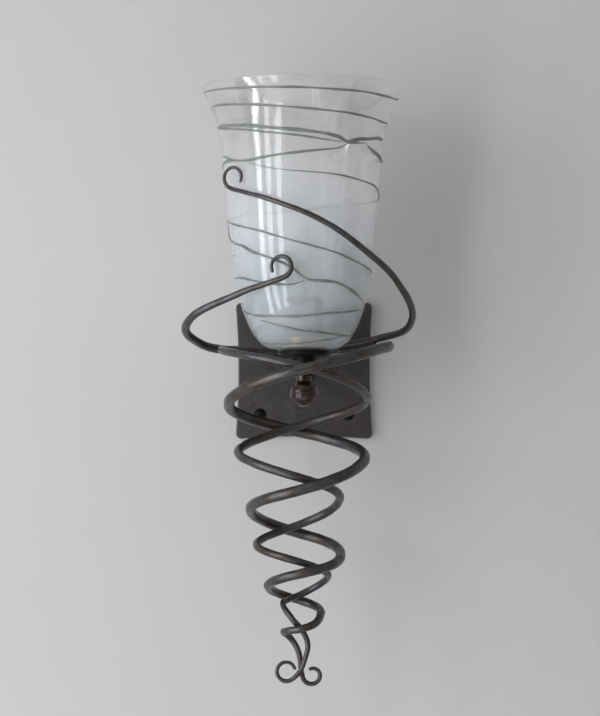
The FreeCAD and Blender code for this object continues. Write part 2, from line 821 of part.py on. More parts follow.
# Routes of the two rods round the light's axis, as drawn for a long rod of DRAWN_HEIGHT.
# Each row holds the degrees travelled round the axis from the right-hand side, the distance
# from the glass or from the axis, the height above the arm, and the thickness there as a
# share of the rod's full diameter.
# The long rod travels to the back first, the short rod to the front first.
DRAWN_HEIGHT = 461.0
LONG_OVER_GLASS = [
    (-138, 1.2, 152.1, 0.51),
    (-128, 1.3, 148.7, 0.54),
    (-113, 1.5, 142.3, 0.59),
    (-90, 2.3, 132.2, 0.63),
    (-59, 6.2, 107.5, 0.69),
    (-33, 10.9, 88.2, 0.72),
    (-17, 23.4, 68.6, 0.77),
]
LONG_COIL = [
    (0, 98.0, 46.7, 0.80),
    (20, 97.0, 34.0, 0.83),
    (39, 91.0, 27.5, 0.85),
    (63, 81.2, 22.8, 0.87),
    (90, 77.0, 18.5, 0.89),
    (180, 73.8, 13.4, 0.92),
    (270, 62.0, -5.1, 0.94),
    (360, 56.3, -31.6, 0.96),
    (450, 50.0, -52.2, 0.98),
    (540, 58.9, -78.4, 1.00),
    (630, 45.0, -103.3, 1.00),
    (720, 31.5, -121.5, 0.99),
    (810, 34.0, -141.9, 0.93),
    (900, 42.5, -161.7, 0.88),
    (990, 29.0, -177.9, 0.86),
    (1080, 21.1, -190.9, 0.82),
    (1170, 16.0, -205.0, 0.77),
    (1260, 18.9, -214.3, 0.72),
]
SHORT_OVER_GLASS = [
    (-246, 1.9, 70.6, 0.52),
    (-236, 3.0, 66.8, 0.56),
    (-210, 11.6, 58.5, 0.65),
]
OUTSIDE_LONG = None
AT_THE_BACK = -90
SHORT_COIL = [
    (-192, 97.0, 47.2, 0.71),
    (-180, 108.5, 32.8, 0.76),
    (-162, 106.0, 24.2, 0.80),
    (-140, 103.0, 19.0, 0.84),
    (-90, 94.0, 11.3, 0.90),
    (-61, OUTSIDE_LONG, 15.5, 0.94),
    (0, 75.6, 16.6, 0.98),
    (90, OUTSIDE_LONG, -7.1, 0.99),
    (180, 67.2, -37.0, 1.00),
    (270, OUTSIDE_LONG, -59.6, 1.00),
    (360, 54.5, -83.4, 1.00),
    (450, OUTSIDE_LONG, -112.2, 0.98),
    (540, 47.7, -130.6, 0.96),
    (630, 45.6, -152.7, 0.96),
    (720, 32.6, -171.6, 0.93),
    (810, OUTSIDE_LONG, -186.2, 0.88),
    (900, 31.5, -199.9, 0.83),
    (990, OUTSIDE_LONG, -213.2, 0.79),
    (1080, 14.4, -225.4, 0.76),
    (1170, 17.5, -235.6, 0.71),
    (1260, 18.0, -240.0, 0.66),
]
# Straight-down ends of the rods: to the right, to the back, up, and thickness.
LONG_TAIL = [
    (-10.7, -9.5, -227.4, 0.70),
    (-1.8, -7.5, -238.0, 0.67),
    (3.4, -6.0, -250.5, 0.64),
    (1.3, -5.0, -262.0, 0.61),
    (-2.4, -4.0, -272.5, 0.58),
]
SHORT_TAIL = [
    (-13.0, 5.5, -244.4, 0.62),
    (-8.6, 6.5, -250.0, 0.58),
    (-5.2, 6.0, -256.8, 0.55),
    (-3.2, 4.5, -265.5, 0.52),
    (-2.6, 3.2, -272.5, 0.49),
]
# Flat curls at the rods' ends: degrees that the curl's plane faces to the right, first and
# last turn, how much less than the full curl radius it starts and ends with, and the
# thickness shares at its start and end.
LONG_TOP_CURL = (32, -25, 250, 1.0, 0.0, 0.37, 0.51)
LONG_FOOT_CURL = (0, -40, -340, 0.0, 1.2, 0.55, 0.39)
SHORT_TOP_CURL = (17, 205, -75, 0.6, 0.0, 0.34, 0.48)
SHORT_FOOT_CURL = (0, 180, 470, 0.0, 3.3, 0.47, 0.35)
# Centres of the curls: direction and height over the glass, or place at the foot.
LONG_TOP_CENTRE = (-144.8, 164.5)
SHORT_TOP_CENTRE = (-106.9, 83.5)
LONG_FOOT_CENTRE = (-15.7, -3.0, -274.6)
SHORT_FOOT_CENTRE = (7.4, 3.0, -278.2)
TOP_WELD_FLOOR = 10.0
LEAST_LUMP = 5.0
COIL_STEP = 30
CURL_STEP = 30
ROUTE_TOLERANCE = 0.7


def drawn(length):
    """A length of the route tables at the rods' real size."""
    return length * size("scroll_height") / DRAWN_HEIGHT


def at_real_size(rows):
    return [
        (travel, radius if radius is OUTSIDE_LONG else drawn(radius), drawn(height), share)
        for travel, radius, height, share in rows
    ]


def tail_points(rows):
    return [(Vector(drawn(x), drawn(y), drawn(z)), share) for x, y, z, share in rows]


def outside_glass(rows):
    """Rows whose distance from the glass becomes a distance from the axis."""
    stand_off = size("scroll_stand_off")
    return [
        (travel, glass_radius_at(height) + stand_off + extra, height, share)
        for travel, extra, height, share in rows
    ]


def outside_long_rod(rows, long_rows):
    """Rows that pass just outside the long rod get their distance from it."""
    half_widths = (size("long_rod_diameter") + size("short_rod_diameter")) / 2
    placed = []
    for travel, radius, height, share in rows:
        if radius is OUTSIDE_LONG:
            beside = -travel if travel < 0 else travel + 180
            inner = flowing_value(long_rows, 1, beside)
            radius = inner + half_widths + size("rod_crossing_gap")
        placed.append((travel, radius, height, share))
    return placed


def on_arm(rows):
    """The row at the back rests on the arm, clear of the wall plate."""
    placed = []
    for travel, radius, height, share in rows:
        if travel == AT_THE_BACK:
            radius = size("arm_reach") - size("scroll_wall_gap")
            half = size("short_rod_diameter") * share / 2
            height = size("arm_radius") + half + size("seat_gap")
        placed.append((travel, radius, height, share))
    return placed


def coil_points(rows, sense):
    """Points and thickness shares along the coil, stepping round the axis."""
    first = rows[0][0]
    last = rows[-1][0]
    steps = round((last - first) / COIL_STEP)
    points = []
    for i in range(steps + 1):
        travel = first + (last - first) * i / steps
        radius = flowing_value(rows, 1, travel)
        height = flowing_value(rows, 2, travel)
        turn = math.radians(travel) * sense
        place = Vector(radius * math.cos(turn), radius * math.sin(turn), height)
        points.append((place, flowing_value(rows, 3, travel)))
    return points


def curl_points(centre, curl, full_radius):
    """Points of a flat spiral curl about its centre."""
    facing, opening, closing, less_first, less_last, first_share, last_share = curl
    across = Vector(math.cos(math.radians(facing)), -math.sin(math.radians(facing)), 0)
    steps = round(abs(closing - opening) / CURL_STEP)
    points = []
    for i in range(steps + 1):
        part = i / steps
        turn = math.radians(opening + (closing - opening) * part)
        radius = full_radius - drawn(less_first + (less_last - less_first) * part)
        place = centre + across * (radius * math.cos(turn)) + Vector(0, 0, radius * math.sin(turn))
        points.append((place, first_share + (last_share - first_share) * part))
    return points


def over_glass(direction, height):
    """Centre of a top curl: a direction about the axis, a stand-off from the glass."""
    turn = math.radians(direction)
    radius = glass_radius_at(drawn(height)) + size("scroll_stand_off")
    return Vector(radius * math.cos(turn), radius * math.sin(turn), drawn(height))


def foot_centre(place):
    return Vector(*[drawn(length) for length in place])


def long_rod_route():
    top = size("top_curl_radius")
    foot = size("foot_curl_radius")
    rows = outside_glass(at_real_size(LONG_OVER_GLASS)) + at_real_size(LONG_COIL)
    points = curl_points(over_glass(*LONG_TOP_CENTRE), LONG_TOP_CURL, top)
    points += coil_points(rows, 1)
    points += tail_points(LONG_TAIL)
    points += curl_points(foot_centre(LONG_FOOT_CENTRE), LONG_FOOT_CURL, foot)
    return points, rows


def short_rod_route(long_rows):
    top = size("top_curl_radius")
    foot = size("foot_curl_radius")
    coil = on_arm(outside_long_rod(at_real_size(SHORT_COIL), long_rows))
    rows = outside_glass(at_real_size(SHORT_OVER_GLASS)) + coil
    points = curl_points(over_glass(*SHORT_TOP_CENTRE), SHORT_TOP_CURL, top)
    points += coil_points(rows, -1)
    points += tail_points(SHORT_TAIL)
    points += curl_points(foot_centre(SHORT_FOOT_CENTRE), SHORT_FOOT_CURL, foot)
    return points


def arc_from(start, heading, finish):
    """Arc that leaves a point along a heading and ends at another point."""
    chord = finish - start
    turn_axis = heading.cross(chord)
    if turn_axis.Length < 1e-7:
        return Part.LineSegment(start, finish).toShape()
    inward = turn_axis.cross(heading).normalize()
    radius = chord.dot(chord) / (2 * chord.dot(inward))
    centre = start + inward * radius
    outward = ((start + finish) * 0.5 - centre).normalize()
    return Part.Arc(start, centre + outward * radius, finish).toShape()


def two_arcs(start, heading, finish, last_heading):
    """Two arcs that meet smoothly and join two headings."""
    gap = finish - start
    along = gap.dot(heading + last_heading)
    spread = 2 * (1 - heading.dot(last_heading))
    reach = (math.sqrt(along * along + spread * gap.dot(gap)) - along) / spread
    middle = (start + finish + (heading - last_heading) * reach) * 0.5
    first = arc_from(start, heading, middle)
    return [first, arc_from(middle, first.tangentAt(first.LastParameter), finish)]


def ring_at(edge, parameter, diameter):
    centre = edge.valueAt(parameter)
    circle = Part.Circle(centre, edge.tangentAt(parameter), diameter / 2)
    return Part.Wire(circle.toShape())


def longest_span(places, headings, first):
    """Two arcs from a point to the furthest one that they still reach near the route."""
    best = None
    for last in range(first + 1, len(places)):
        span = two_arcs(places[first], headings[first], places[last], headings[last])
        passed = [Part.Vertex(place) for place in places[first + 1:last]]
        strays = [min(edge.distToShape(vertex)[0] for edge in span) for vertex in passed]
        if max(strays, default=0.0) > ROUTE_TOLERANCE:
            break
        best = (last, span)
    return best


def forged_rod(label, points, full_diameter):
    """Tapered round rod along smooth arcs through points that carry a thickness share."""
    places = [place for place, share in points]
    curve = Part.BSplineCurve()
    curve.interpolate(places)
    stops = [curve.parameter(place) for place in places]
    headings = [Vector(*curve.tangent(stop)[0]) for stop in stops]
    faces = []
    rings = []
    volume = 0.0
    edges = []
    first = 0
    while first < len(points) - 1:
        last, span = longest_span(places, headings, first)
        middle_share = (points[first][1] + points[last][1]) / 2
        shares = (points[first][1], middle_share, points[last][1])
        for number, edge in enumerate(span):
            before = ring_at(edge, edge.FirstParameter, full_diameter * shares[number])
            after = ring_at(edge, edge.LastParameter, full_diameter * shares[number + 1])
            faces += Part.Wire(edge).makePipeShell([before, after], False, False).Faces
            rings += [before, after]
            edges.append(edge)
            mean = full_diameter * (shares[number] + shares[number + 1]) / 4
            volume += edge.Length * math.pi * mean * mean
        first = last
    shell = Part.makeShell(faces + [Part.Face(rings[0]), Part.Face(rings[-1])])
    shell.sewShape()
    solid = Part.Solid(shell)
    if solid.Volume < 0:
        solid.reverse()
    if abs(solid.Volume / volume - 1) > 0.02:
        raise RuntimeError("%s has volume %.0f, not %.0f" % (label, solid.Volume, volume))
    rod = doc.addObject("Part::Feature", label)
    rod.Label = label
    rod.Shape = solid
    stand(rod, "0")
    return rod, edges


def least_gap(label, first_edges, second_edges, floor=-math.inf):
    """Closest pair of points on two routes above a height, printed and returned."""
    first = [p for edge in first_edges for p in edge.discretize(14) if p.z > floor]
    second = [p for edge in second_edges for p in edge.discretize(14) if p.z > floor]
    pair = min(((a, b) for a in first for b in second), key=lambda ab: (ab[0] - ab[1]).Length)
    print("%s: %.2f mm between centre lines" % (label, (pair[0] - pair[1]).Length))
    return pair


def make_rods():
    """The two counter-wound scroll rods and the weld beads that hold them."""
    long_points, long_rows = long_rod_route()
    short_points = short_rod_route(long_rows)
    long_rod, long_edges = forged_rod("scroll_rod_long", long_points, size("long_rod_diameter"))
    short_rod, short_edges = forged_rod(
        "scroll_rod_short", short_points, size("short_rod_diameter")
    )
    doc.recompute()
    least_gap("rods at their closest", long_edges, short_edges)
    floor = drawn(TOP_WELD_FLOOR)
    crossing = least_gap("rods at the top weld", long_edges, short_edges, floor)
    axis_shift = Vector(0, -size("arm_reach"), 0)
    between_rods = (crossing[0] + crossing[1]) * 0.5 + axis_shift
    on_the_arm = Vector(0, -size("scroll_wall_gap"), size("arm_radius"))
    arm = Part.makeCylinder(
        size("arm_radius"), size("arm_reach"), Vector(0, -size("arm_reach"), 0), Vector(0, 1, 0)
    )
    lumps = []
    for place in (between_rods, on_the_arm):
        ball = Part.makeSphere(size("weld_bead_radius"), place)
        rest = ball.cut([long_rod.Shape, short_rod.Shape, arm])
        lumps += [solid for solid in rest.Solids if solid.Volume > LEAST_LUMP]
    welds = doc.addObject("Part::Feature", "rod_welds")
    welds.Label = "rod_welds"
    welds.Shape = Part.makeCompound(lumps)
    return [long_rod, short_rod, welds]


def make_all():
    """Every sub-part of the light."""
    rim_inner = "$cup_radius - $cup_wall + $gasket_inset"
    parts = [
        make_backplate(),
        make_bushing(),
        make_arm(),
        make_arm_weld(),
        make_hub(),
        make_nipple(),
        make_cup(),
        make_ring(
            "cup_washer",
            "$nipple_radius + $seat_gap",
            "$washer_radius",
            "$washer_thickness",
            CUP_FLOOR_TOP,
        ),
        make_nut(),
        make_ring(
            "glass_gasket",
            rim_inner,
            "$cup_radius - $gasket_inset / 2",
            "$gasket_thickness",
            GASKET_BOTTOM,
        ),
        make_finial(),
        make_glass(),
    ]
    for side_name, side in (("left", -1), ("right", 1)):
        for level_name, level in (("lower", -1), ("upper", 1)):
            parts.append(make_screw("wall_screw_%s_%s" % (level_name, side_name), side, level))
    parts += make_socket()
    parts += make_bulb()
    doc.recompute()
    parts += make_rods()
    doc.recompute()
    return parts


def check_document():
    for thing in doc.Objects:
        if "Invalid" in thing.State or "Error" in thing.State:
            raise RuntimeError("%s failed: %s" % (thing.Name, thing.State))


def export_parts(parts):
    for part in parts:
        shape = part.Shape
        if shape.isNull() or not shape.isValid():
            raise RuntimeError("%s has no valid shape" % part.Label)
        shape.exportStep("parts/%s.step" % part.Label)


fill_sheet()
PARTS = make_all()
check_document()
os.makedirs("parts", exist_ok=True)
export_parts(PARTS)
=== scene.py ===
import math

import bpy
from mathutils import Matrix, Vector


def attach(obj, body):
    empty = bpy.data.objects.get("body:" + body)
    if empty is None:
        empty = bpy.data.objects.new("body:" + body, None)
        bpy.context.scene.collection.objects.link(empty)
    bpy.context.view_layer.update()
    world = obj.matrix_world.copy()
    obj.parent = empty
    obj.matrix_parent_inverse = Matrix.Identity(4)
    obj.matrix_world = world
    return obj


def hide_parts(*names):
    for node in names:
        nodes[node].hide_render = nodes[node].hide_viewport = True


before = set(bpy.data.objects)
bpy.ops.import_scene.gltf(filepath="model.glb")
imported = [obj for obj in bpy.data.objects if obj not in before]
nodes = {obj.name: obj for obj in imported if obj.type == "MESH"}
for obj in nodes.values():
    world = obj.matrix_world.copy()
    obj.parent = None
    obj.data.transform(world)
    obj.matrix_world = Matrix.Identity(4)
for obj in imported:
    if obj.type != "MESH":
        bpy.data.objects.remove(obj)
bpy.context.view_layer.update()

# Forged iron torch sconce with a blown glass shade. Metres, +Z up, the wall is the plane
# Y = 0. Tables of sizes are in millimetres and are taken from the light's own axis.
MM = 0.001
AXIS = Vector((0.0, -0.115, 0.0))
GLASS_FOOT = 14.0
GLASS_LIP = 252.0
# Points nearer than this, in metres, are one.
SAME_POINT = 0.000002


def linear(colour):
    """Linear light values of an sRGB hex colour."""
    parts = [int(colour[i:i + 2], 16) / 255 for i in (1, 3, 5)]
    return tuple(p / 12.92 if p <= 0.04045 else ((p + 0.055) / 1.055) ** 2.4 for p in parts) + (1.0,)


def per_mm(length):
    """Noise scale, in turns to the metre, whose marks are so many millimetres long."""
    return 1.0 / (length * MM)


# ---------------------------------------------------------------- materials


def add(tree, kind, settings=None, inputs=None, stops=None):
    """Adds a node with its settings, its inputs (values or other nodes' outputs) and ramp stops."""
    made = tree.nodes.new(kind)
    for name, value in (settings or {}).items():
        setattr(made, name, value)
    for name, value in (inputs or {}).items():
        if isinstance(value, bpy.types.NodeSocket):
            tree.links.new(value, made.inputs[name])
        else:
            made.inputs[name].default_value = value
    if stops:
        ramp = made.color_ramp
        while len(ramp.elements) < len(stops):
            ramp.elements.new(0.5)
        for element, (place, value) in zip(ramp.elements, stops):
            element.position = place
            element.color = value if isinstance(value, tuple) else (value, value, value, 1.0)
    return made


def new_material(name):
    """A material with an empty tree, its surface shader and the place it reads its pattern from."""
    material = bpy.data.materials.new(name)
    material.use_nodes = True
    tree = material.node_tree
    tree.nodes.clear()
    shader = add(tree, "ShaderNodeBsdfPrincipled")
    add(tree, "ShaderNodeOutputMaterial", inputs={"Surface": shader.outputs["BSDF"]})
    where = add(tree, "ShaderNodeTexCoord")
    return material, tree, shader, where


def speckle(tree, place, millimetres, detail=4.0, roughness=0.55):
    """Even noise whose marks are about so many millimetres across."""
    settings = {"Vector": place, "Scale": per_mm(millimetres), "Detail": detail, "Roughness": roughness}
    return add(tree, "ShaderNodeTexNoise", inputs=settings).outputs["Fac"]


def spread(tree, value, low, high, start=0.35, end=0.65):
    """Stretches a noise's middle range to run from low to high."""
    inputs = {"Value": value, "From Min": start, "From Max": end, "To Min": low, "To Max": high}
    return add(tree, "ShaderNodeMapRange", inputs=inputs).outputs["Result"]


def blend_colours(tree, factor, first, second):
    """Colour mix by a factor; each colour is a hex value or another node's output."""
    sides = [linear(c) if isinstance(c, str) else c for c in (first, second)]
    inputs = {0: factor, 6: sides[0], 7: sides[1]}
    mixed = add(tree, "ShaderNodeMix", {"data_type": "RGBA"}, inputs)
    return mixed.outputs[2]


def relief(tree, height, millimetres, beneath=None, strength=1.0):
    """Bump of so many millimetres, over another bump where one is given."""
    inputs = {"Height": height, "Distance": millimetres * MM, "Strength": strength}
    if beneath is not None:
        inputs["Normal"] = beneath
    return add(tree, "ShaderNodeBump", inputs=inputs).outputs["Normal"]


def wire(tree, shader, **links):
    """Links outputs to the shader's inputs, or sets plain values on them."""
    names = {
        "colour": "Base Color", "rough": "Roughness", "metal": "Metallic", "normal": "Normal",
        "through": "Transmission Weight", "ior": "IOR", "alpha": "Alpha", "coat": "Coat Weight",
        "coat_rough": "Coat Roughness", "sheen": "Sheen Weight",
    }
    for name, value in links.items():
        socket = shader.inputs[names[name]]
        if isinstance(value, bpy.types.NodeSocket):
            tree.links.new(value, socket)
        else:
            socket.default_value = value


def forged_bar():
    """Forged mild steel bar, brushed and waxed: dark, with blue-grey scale on brown."""
    material, tree, shader, where = new_material("Forged mild steel bar, waxed")
    place = where.outputs["Object"]
    along = add(tree, "ShaderNodeMapping", inputs={"Vector": where.outputs["UV"], "Scale": (9.0, 900.0, 1.0)})
    grain = add(tree, "ShaderNodeTexNoise", inputs={
        "Vector": along.outputs["Vector"], "Scale": 1.0, "Detail": 3.0, "Roughness": 0.6,
    }).outputs["Fac"]
    scale_patches = spread(tree, speckle(tree, place, 26), 0.0, 1.0, 0.42, 0.62)
    rust_patches = spread(tree, speckle(tree, place, 13), 0.0, 0.85, 0.44, 0.62)
    base = blend_colours(tree, scale_patches, "#5A544F", "#545B63")
    warm = blend_colours(tree, rust_patches, base, "#4A3F36")
    streaked = blend_colours(tree, spread(tree, grain, 0.0, 0.45), warm, "#3A3837")
    marks = relief(tree, speckle(tree, place, 7, 2.0), 0.25)
    fine = relief(tree, grain, 0.05, marks, 0.6)
    wire(
        tree, shader, colour=streaked, metal=0.85, normal=fine, coat=0.3, coat_rough=0.24,
        rough=spread(tree, speckle(tree, place, 5), 0.32, 0.48),
    )
    return material


def forged_plate():
    """Hot-rolled steel plate with its forge scale left on: dull, dark and mottled."""
    material, tree, shader, where = new_material("Hot-rolled steel plate, scaled")
    place = where.outputs["Object"]
    clouds = spread(tree, speckle(tree, place, 22), 0.0, 1.0)
    specks = spread(tree, speckle(tree, place, 3.5), 0.0, 0.6, 0.48, 0.68)
    base = blend_colours(tree, clouds, "#4C4846", "#54504E")
    flecked = blend_colours(tree, specks, base, "#433D3A")
    dents = relief(tree, speckle(tree, place, 14, 2.0), 0.3)
    pits = relief(tree, speckle(tree, place, 1.6), 0.07, dents, 0.7)
    wire(
        tree, shader, colour=flecked, metal=0.6, normal=pits,
        rough=spread(tree, speckle(tree, place, 9), 0.42, 0.62),
    )
    return material


def blackened_steel():
    """Spun and turned steel, heat-blackened and oiled: near black with soft lathe rings."""
    material, tree, shader, where = new_material("Blackened turned steel")
    place = where.outputs["Object"]
    cloud = spread(tree, speckle(tree, place, 12), 0.0, 1.0)
    colour = blend_colours(tree, cloud, "#1F1F21", "#262322")
    squeezed = add(tree, "ShaderNodeMapping", inputs={"Vector": place, "Scale": (0.05, 0.05, 1.0)})
    rings = speckle(tree, squeezed.outputs["Vector"], 0.5, 1.0)
    wire(
        tree, shader, colour=colour, metal=0.9, normal=relief(tree, rings, 0.03),
        rough=spread(tree, cloud, 0.38, 0.5, 0.0, 1.0),
    )
    return material


def browned_copper():
    """Copper-plated turned ball, browned and polished: deep red-brown with a clear gloss."""
    material, tree, shader, where = new_material("Browned copper plate")
    place = where.outputs["Object"]
    cloud = spread(tree, speckle(tree, place, 8), 0.0, 1.0)
    colour = blend_colours(tree, cloud, "#402C29", "#2C211F")
    wire(
        tree, shader, colour=colour, metal=0.7, coat=0.6, coat_rough=0.12,
        rough=spread(tree, speckle(tree, place, 4), 0.28, 0.4),
        normal=relief(tree, speckle(tree, place, 3, 2.0), 0.03),
    )
    return material


def plain_metal(name, first, second, grain, low, high, metal=1.0):
    """Turned or stamped small metalwork: two near tones, with a fine grain in its gloss."""
    material, tree, shader, where = new_material(name)
    place = where.outputs["Object"]
    fine = speckle(tree, place, grain)
    wire(
        tree, shader, colour=blend_colours(tree, spread(tree, fine, 0.0, 1.0), first, second), metal=metal,
        rough=spread(tree, fine, low, high), normal=relief(tree, fine, 0.02),
    )
    return material


def moulded(name, first, second, grain, low, high):
    """Moulded plastic or fired insulator: no metal, a slight orange-peel skin."""
    return plain_metal(name, first, second, grain, low, high, metal=0.0)


def pressed_felt():
    """Wool felt gasket: matt, fibrous, with a soft nap."""
    material, tree, shader, where = new_material("Pressed wool felt")
    place = where.outputs["Object"]
    fibre = speckle(tree, place, 0.6, 6.0, 0.8)
    wire(
        tree, shader, colour=blend_colours(tree, fibre, "#3A3A3A", "#5A5856"), rough=0.95, sheen=0.4,
        normal=relief(tree, fibre, 0.3),
    )
    return material


def opal_blown_glass():
    """Blown soda glass, clear at the rim, cased with opal white that thickens downwards, its colour painted
    greyer and bluer towards the foot as shade.
    """
    material, tree, shader, where = new_material("Blown soda glass, opal cased")
    place = where.outputs["Object"]
    height = add(tree, "ShaderNodeSeparateXYZ", inputs={"Vector": place}).outputs["Z"]
    wisps = add(tree, "ShaderNodeMapping", inputs={"Vector": place, "Scale": (1.0, 1.0, 0.2)})
    drift = speckle(tree, wisps.outputs["Vector"], 22, 3.0)
    shifted = add(tree, "ShaderNodeMath", {"operation": "MULTIPLY_ADD"}, {0: drift, 1: 0.07, 2: -0.035})
    level = add(tree, "ShaderNodeMath", {"operation": "ADD"}, {0: height, 1: shifted.outputs["Value"]})
    milk = spread(tree, level.outputs["Value"], 0.0, 1.0, GLASS_FOOT * MM, GLASS_LIP * MM)
    clear = add(tree, "ShaderNodeValToRGB", inputs={"Fac": milk}, stops=[
        (0.0, 0.04), (0.3, 0.1), (0.45, 0.38), (0.66, 0.56), (0.79, 0.86), (0.89, 1.0),
    ]).outputs["Color"]
    # Colour: white up to the rim, greyer and bluer towards the foot; the darker foot is painted shade of the
    # bowl that turns down, away from the light.
    opal_and_painted_shade = add(tree, "ShaderNodeValToRGB", inputs={"Fac": milk}, stops=[
        (0.0, linear("#D2DADE")), (0.3, linear("#D8E0E4")),
        (0.46, linear("#F4F7FC")), (1.0, linear("#FFFFFB")),
    ]).outputs["Color"]
    ripples = speckle(tree, wisps.outputs["Vector"], 22, 2.0)
    wire(
        tree, shader, colour=opal_and_painted_shade, through=clear, alpha=0.42, ior=1.75, rough=0.03,
        normal=relief(tree, ripples, 0.9, strength=0.7),
    )
    return material


def trailed_glass():
    """Grey-green glass thread trailed on hot: dark, glossy and slightly see-through."""
    material, tree, shader, where = new_material("Grey-green trailed glass")
    tone = spread(tree, speckle(tree, where.outputs["Object"], 9), 0.0, 1.0)
    wire(
        tree, shader, colour=blend_colours(tree, tone, "#7C847C", "#949B93"), ior=1.5, rough=0.18,
        through=0.2,
    )
    return material


def clear_glass():
    """Thin clear bulb glass."""
    material, tree, shader, where = new_material("Clear bulb glass")
    seeds = speckle(tree, where.outputs["Object"], 12, 1.0)
    wire(
        tree, shader, colour=linear("#F4F7F6"), through=0.96, ior=1.5,
        rough=spread(tree, seeds, 0.02, 0.06),
    )
    return material


def give(material, *names):
    """The named CAD nodes get a material."""
    for name in names:
        data = nodes[name].data
        data.materials.clear()
        data.materials.append(material)


iron = forged_bar()
plate_steel = forged_plate()
black_steel = blackened_steel()
browned = browned_copper()
opal = opal_blown_glass()
thread_glass = trailed_glass()
brass = plain_metal("Stamped lamp brass", "#C9A860", "#B58F48", 2.5, 0.22, 0.36)
zinc = plain_metal("Zinc-plated steel", "#B9B7AE", "#A5A49F", 3.0, 0.26, 0.42)

give(plate_steel, "backplate")
give(iron, "support_arm", "arm_weld", "rod_welds", "scroll_rod_long", "scroll_rod_short")
give(black_steel, "cup", "hub", "wall_screw_lower_left", "wall_screw_lower_right",
     "wall_screw_upper_left", "wall_screw_upper_right")
give(browned, "finial")
give(brass, "socket_cap", "socket_screw_shell", "socket_contact")
give(zinc, "lamp_nipple", "cup_nut", "cup_washer")
give(pressed_felt(), "glass_gasket")
give(moulded("Moulded phenolic", "#2A2624", "#1D1A18", 1.5, 0.25, 0.4), "socket_body")
give(moulded("Moulded nylon", "#2E2E2E", "#222222", 1.0, 0.4, 0.55), "wire_bushing")
give(moulded("Vitrite insulator", "#17171A", "#0F0F11", 1.0, 0.08, 0.16), "bulb_insulator")
give(moulded("Yellow phosphor coat", "#D9B65A", "#C9A040", 0.5, 0.6, 0.8), "bulb_filaments")
give(plain_metal("Tin solder", "#9C9C9C", "#83838A", 1.2, 0.35, 0.5), "bulb_tip_contact")
give(plain_metal("Rolled aluminium screw base", "#CFCDC8", "#B9B7B2", 2.0, 0.25, 0.38), "bulb_base_shell")
give(clear_glass(), "bulb_envelope", "bulb_stem")
give(opal, "glass_shade")


# ---------------------------------------------------------------- modelling help


def deselect():
    """Leaves nothing selected, so that an operator acts on the new piece alone."""
    bpy.ops.object.select_all(action="DESELECT")


def finish_piece(piece, name, material):
    """Names a piece, applies its place and gives it its material."""
    piece.name = name
    piece.data.name = name
    bpy.ops.object.transform_apply(location=True, rotation=True, scale=True)
    piece.data.materials.clear()
    piece.data.materials.append(material)
    return piece


def apply_modifier(piece, name, kind, **settings):
    """Adds a modifier with its settings and makes it part of the mesh."""
    made = piece.modifiers.new(name, kind)
    for key, value in settings.items():
        setattr(made, key, value)
    bpy.ops.object.modifier_apply(modifier=made.name)


def texture(name, kind, millimetres):
    """Texture for a displacement, with marks of so many millimetres."""
    made = bpy.data.textures.new(name, kind)
    made.noise_scale = millimetres * MM
    return made


def flow(table, key):
    """Smooth value between the rows (key, value) of a table, in rising order of key."""
    last = len(table) - 1
    run = max([i for i in range(last) if key >= table[i][0]], default=0)

    def slope(i):
        before = max(i - 1, 0)
        after = min(i + 1, last)
        return (table[after][1] - table[before][1]) / (table[after][0] - table[before][0])

    step = table[run + 1][0] - table[run][0]
    part = min(max((key - table[run][0]) / step, 0.0), 1.0)
    return (
        (2 * part ** 3 - 3 * part ** 2 + 1) * table[run][1]
        + (part ** 3 - 2 * part ** 2 + part) * slope(run) * step
        + (3 * part ** 2 - 2 * part ** 3) * table[run + 1][1]
        + (part ** 3 - part ** 2) * slope(run + 1) * step
    )


def centre_at(height, lean=None):
    """The point of the light's axis at a height in mm, moved sideways where a piece leans."""
    aside = flow(lean, height) if lean else 0.0
    return AXIS + Vector((aside * MM, 0, height * MM))


def drawn_up(stations, sides, lean=None, capped=False):
    """Turned shell on the light's axis, drawn up ring by ring through (radius, height) in mm."""
    deselect()
    radius, height = stations[0]
    bpy.ops.mesh.primitive_circle_add(
        vertices=sides, radius=radius * MM, location=centre_at(height, lean),
        fill_type="NGON" if capped else "NOTHING",
    )
    piece = bpy.context.object
    bpy.ops.object.mode_set(mode="EDIT")
    for next_radius, next_height in stations[1:]:
        centre = centre_at(next_height, lean)
        rise = centre - centre_at(height, lean)
        bpy.ops.mesh.extrude_edges_move(TRANSFORM_OT_translate={"value": rise})
        factor = next_radius / radius
        bpy.ops.transform.resize(value=(factor, factor, 1), center_override=centre)
        radius, height = next_radius, next_height
    if capped:
        bpy.ops.mesh.edge_face_add()
    bpy.ops.mesh.select_all(action="SELECT")
    bpy.ops.mesh.remove_doubles(threshold=SAME_POINT)
    bpy.ops.mesh.normals_make_consistent(inside=False)
    bpy.ops.object.mode_set(mode="OBJECT")
    return piece


